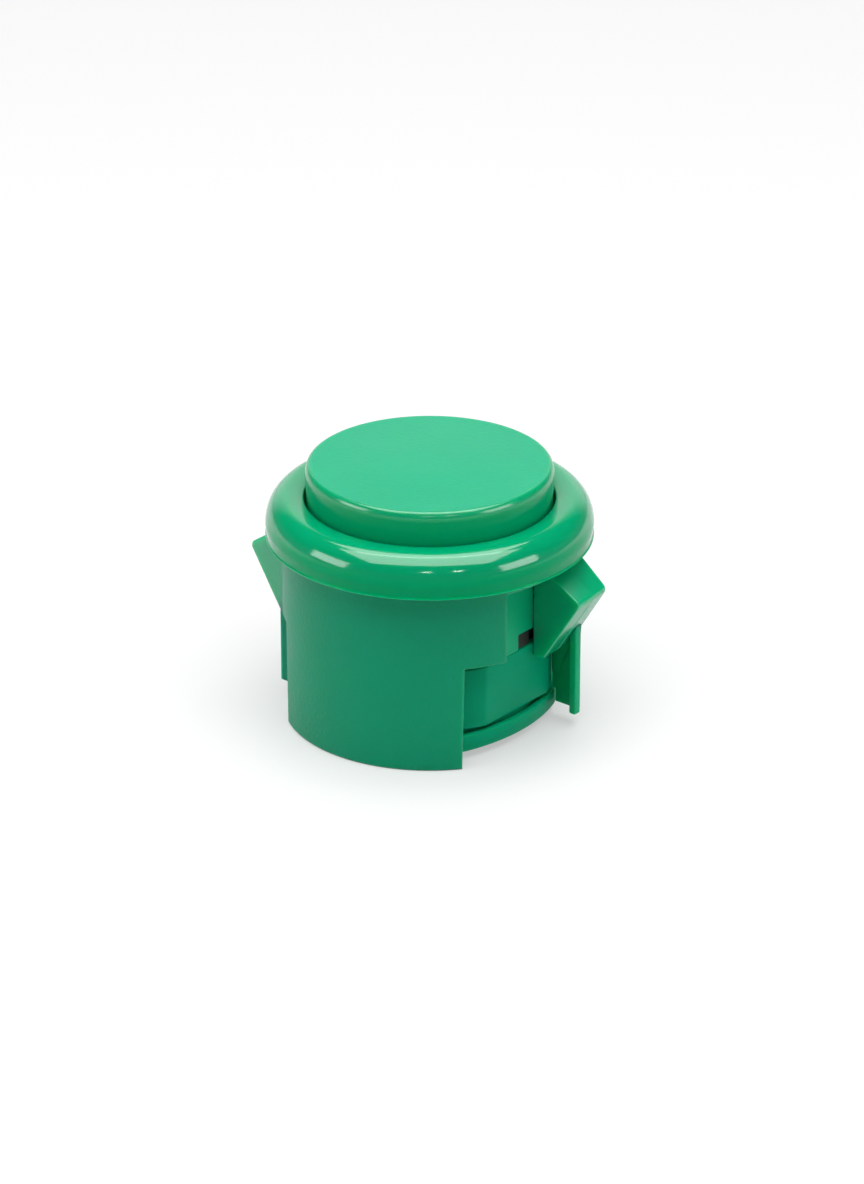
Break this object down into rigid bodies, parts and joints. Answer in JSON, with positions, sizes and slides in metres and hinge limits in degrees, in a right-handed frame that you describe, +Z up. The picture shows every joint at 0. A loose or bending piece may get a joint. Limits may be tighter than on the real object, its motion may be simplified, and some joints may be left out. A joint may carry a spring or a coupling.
{
  "type": "arcade push button",
  "caption": "Round snap-in arcade push button: a flat plunger in a beaded rim, a cut-away barrel with wedge clips, and a switch base with terminals inside.",
  "frame": {"origin": "centre of the button's axis on the plane of the skirts' lower edges, where it stands", "axes": "+Z up along the plunger's axis, +X through the middle of one side opening, in line with the snap clips"},
  "size_m": [0.0344, 0.033, 0.0273],
  "materials": {
    "housing_green": "moulded green, polished rim, fine grain on the barrel",
    "plunger_green": "moulded green, satin top",
    "base_green": "moulded green, satin",
    "switch_black": "black moulded",
    "actuator_white": "natural white moulded",
    "terminal_brass": "stamped brass",
    "lever_bronze": "rolled spring bronze",
    "contact_silver": "silver contact",
    "spring_steel": "drawn steel wire"
  },
  "bodies": {
    "frame": {"housing": "housing_green", "switch_base": "base_green", "switch_case": "switch_black", "switch_cover": "switch_black", "common_terminal": "terminal_brass", "contact_terminal": "terminal_brass", "fixed_contact": "contact_silver", "return_spring": "spring_steel"},
    "plunger": {"plunger": "plunger_green"},
    "actuator": {"actuator": "actuator_white", "lever_spring": "spring_steel"},
    "lever": {"contact_lever": "lever_bronze", "moving_contact": "contact_silver"}
  },
  "joints": [
    {"name": "plunger_press", "type": "slide", "parent": "frame", "child": "plunger", "axis": [0, 0, -1], "range_m": [0, 0.0015], "stiffness_N_per_m": 250, "springref_m": -0.003, "deforming": ["return_spring"]},
    {"name": "actuator_press", "type": "slide", "parent": "frame", "child": "actuator", "axis": [0, 0, -1], "range_m": [0, 0.0015], "stiffness_N_per_m": 60, "springref_m": -0.003, "deforming": ["lever_spring"]},
    {"name": "lever_rock", "type": "hinge", "parent": "frame", "child": "lever", "pos_m": [-0.0055, 0, 0.00965], "axis": [0, 1, 0], "range_deg": [0, 2.7]}
  ],
  "couplings": [
    {"joint": "actuator_press", "follows": "plunger_press", "ratio": 1},
    {"joint": "lever_rock", "follows": "plunger_press", "rad_per_m": 31.4}
  ]
}
